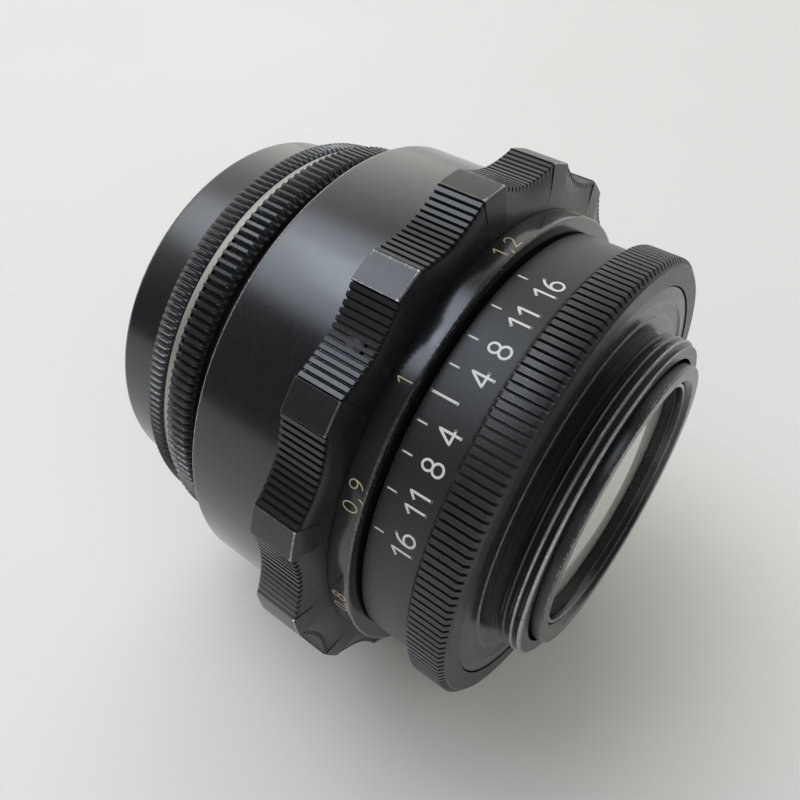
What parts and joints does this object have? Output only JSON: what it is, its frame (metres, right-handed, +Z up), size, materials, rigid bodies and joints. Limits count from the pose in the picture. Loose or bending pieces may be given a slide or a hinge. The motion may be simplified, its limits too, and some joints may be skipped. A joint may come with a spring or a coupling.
{
  "type": "prime camera lens",
  "caption": "Prime camera lens with a scalloped focusing ring, narrow knurled iris rings and a screw mount, lying on its side.",
  "frame": {"origin": "centre of the rear seating face, on the optical axis", "axes": "+Y along the optical axis towards the front glass, -Y the way the mount thread goes in, +Z up with the lens lying on its side"},
  "size_m": [0.0692, 0.0596, 0.0689],
  "materials": {
    "black_gloss": "gloss",
    "black_satin": "satin",
    "bare_alloy": "satin",
    "dark_alloy": "satin",
    "helicoid_brass": "satin",
    "screw_steel": "brushed",
    "coated_glass": "polished",
    "blade_steel": "matte"
  },
  "bodies": {
    "mount_body": {"mount_thread_ring": "dark_alloy", "mount_grip_ring": "black_satin", "fixed_scale_ring": "black_satin", "base_helicoid": "helicoid_brass", "mount_set_screws": "screw_steel", "focus_guide_keys": "helicoid_brass"},
    "focus_body": {"helicoid_nut": "helicoid_brass", "distance_scale_ring": "black_gloss", "focus_grip_ring": "black_satin", "focus_set_screws": "screw_steel"},
    "aperture_body": {"aperture_ring": "black_satin", "aperture_drive_pin": "screw_steel", "iris_drive_tube": "bare_alloy", "iris_cam_ring": "bare_alloy"},
    "preset_body": {"preset_ring": "black_satin", "preset_set_screws": "screw_steel"},
    "blade_1": {"iris_blade_1": "blade_steel"},
    "blade_2": {"iris_blade_2": "blade_steel"},
    "blade_3": {"iris_blade_3": "blade_steel"},
    "blade_4": {"iris_blade_4": "blade_steel"},
    "blade_5": {"iris_blade_5": "blade_steel"},
    "blade_6": {"iris_blade_6": "blade_steel"},
    "blade_7": {"iris_blade_7": "blade_steel"},
    "blade_8": {"iris_blade_8": "blade_steel"},
    "lens_head": {"inner_helicoid": "bare_alloy", "rear_barrel": "black_satin", "rear_retaining_ring": "black_gloss", "rear_glass": "coated_glass", "rear_doublet_outer": "coated_glass", "rear_doublet_inner": "coated_glass", "rear_doublet_retainer": "black_satin", "iris_base": "dark_alloy", "iris_retainer": "dark_alloy", "front_doublet_inner": "coated_glass", "front_doublet_outer": "coated_glass", "front_cell": "black_satin", "front_glass": "coated_glass", "front_retaining_ring": "black_gloss", "barrel_carrier": "bare_alloy", "barrel_sleeve": "black_gloss", "sleeve_screws": "screw_steel", "head_tube": "dark_alloy", "front_bezel": "black_gloss"}
  },
  "joints": [
    {"name": "focus_slide", "type": "slide", "parent": "mount_body", "child": "lens_head", "axis": [0, 1, 0], "range_m": [0, 0.00705]},
    {"name": "focus_turn", "type": "hinge", "parent": "lens_head", "child": "focus_body", "pos_m": [0, 0, 0], "axis": [0, 1, 0], "range_deg": [0, 349]},
    {"name": "aperture_turn", "type": "hinge", "parent": "lens_head", "child": "aperture_body", "pos_m": [0, 0.04, 0], "axis": [0, 1, 0], "range_deg": [0, 70]},
    {"name": "preset_turn", "type": "hinge", "parent": "lens_head", "child": "preset_body", "pos_m": [0, 0.0457, 0], "axis": [0, 1, 0], "range_deg": [0, 70]},
    {"name": "blade_1_swing", "type": "hinge", "parent": "lens_head", "child": "blade_1", "pos_m": [0.01901, 0.0245, 0], "axis": [0, 1, 0], "range_deg": [0, 35]},
    {"name": "blade_2_swing", "type": "hinge", "parent": "lens_head", "child": "blade_2", "pos_m": [0.01344, 0.0245, -0.01344], "axis": [0, 1, 0], "range_deg": [0, 35]},
    {"name": "blade_3_swing", "type": "hinge", "parent": "lens_head", "child": "blade_3", "pos_m": [0, 0.0245, -0.01901], "axis": [0, 1, 0], "range_deg": [0, 35]},
    {"name": "blade_4_swing", "type": "hinge", "parent": "lens_head", "child": "blade_4", "pos_m": [-0.01344, 0.0245, -0.01344], "axis": [0, 1, 0], "range_deg": [0, 35]},
    {"name": "blade_5_swing", "type": "hinge", "parent": "lens_head", "child": "blade_5", "pos_m": [-0.01901, 0.0245, 0], "axis": [0, 1, 0], "range_deg": [0, 35]},
    {"name": "blade_6_swing", "type": "hinge", "parent": "lens_head", "child": "blade_6", "pos_m": [-0.01344, 0.0245, 0.01344], "axis": [0, 1, 0], "range_deg": [0, 35]},
    {"name": "blade_7_swing", "type": "hinge", "parent": "lens_head", "child": "blade_7", "pos_m": [0, 0.0245, 0.01901], "axis": [0, 1, 0], "range_deg": [0, 35]},
    {"name": "blade_8_swing", "type": "hinge", "parent": "lens_head", "child": "blade_8", "pos_m": [0.01344, 0.0245, 0.01344], "axis": [0, 1, 0], "range_deg": [0, 35]}
  ],
  "couplings": [
    {"joint": "focus_turn", "follows": "focus_slide", "rad_per_m": 864},
    {"joint": "blade_1_swing", "follows": "aperture_turn", "ratio": 0.5},
    {"joint": "blade_2_swing", "follows": "aperture_turn", "ratio": 0.5},
    {"joint": "blade_3_swing", "follows": "aperture_turn", "ratio": 0.5},
    {"joint": "blade_4_swing", "follows": "aperture_turn", "ratio": 0.5},
    {"joint": "blade_5_swing", "follows": "aperture_turn", "ratio": 0.5},
    {"joint": "blade_6_swing", "follows": "aperture_turn", "ratio": 0.5},
    {"joint": "blade_7_swing", "follows": "aperture_turn", "ratio": 0.5},
    {"joint": "blade_8_swing", "follows": "aperture_turn", "ratio": 0.5}
  ]
}
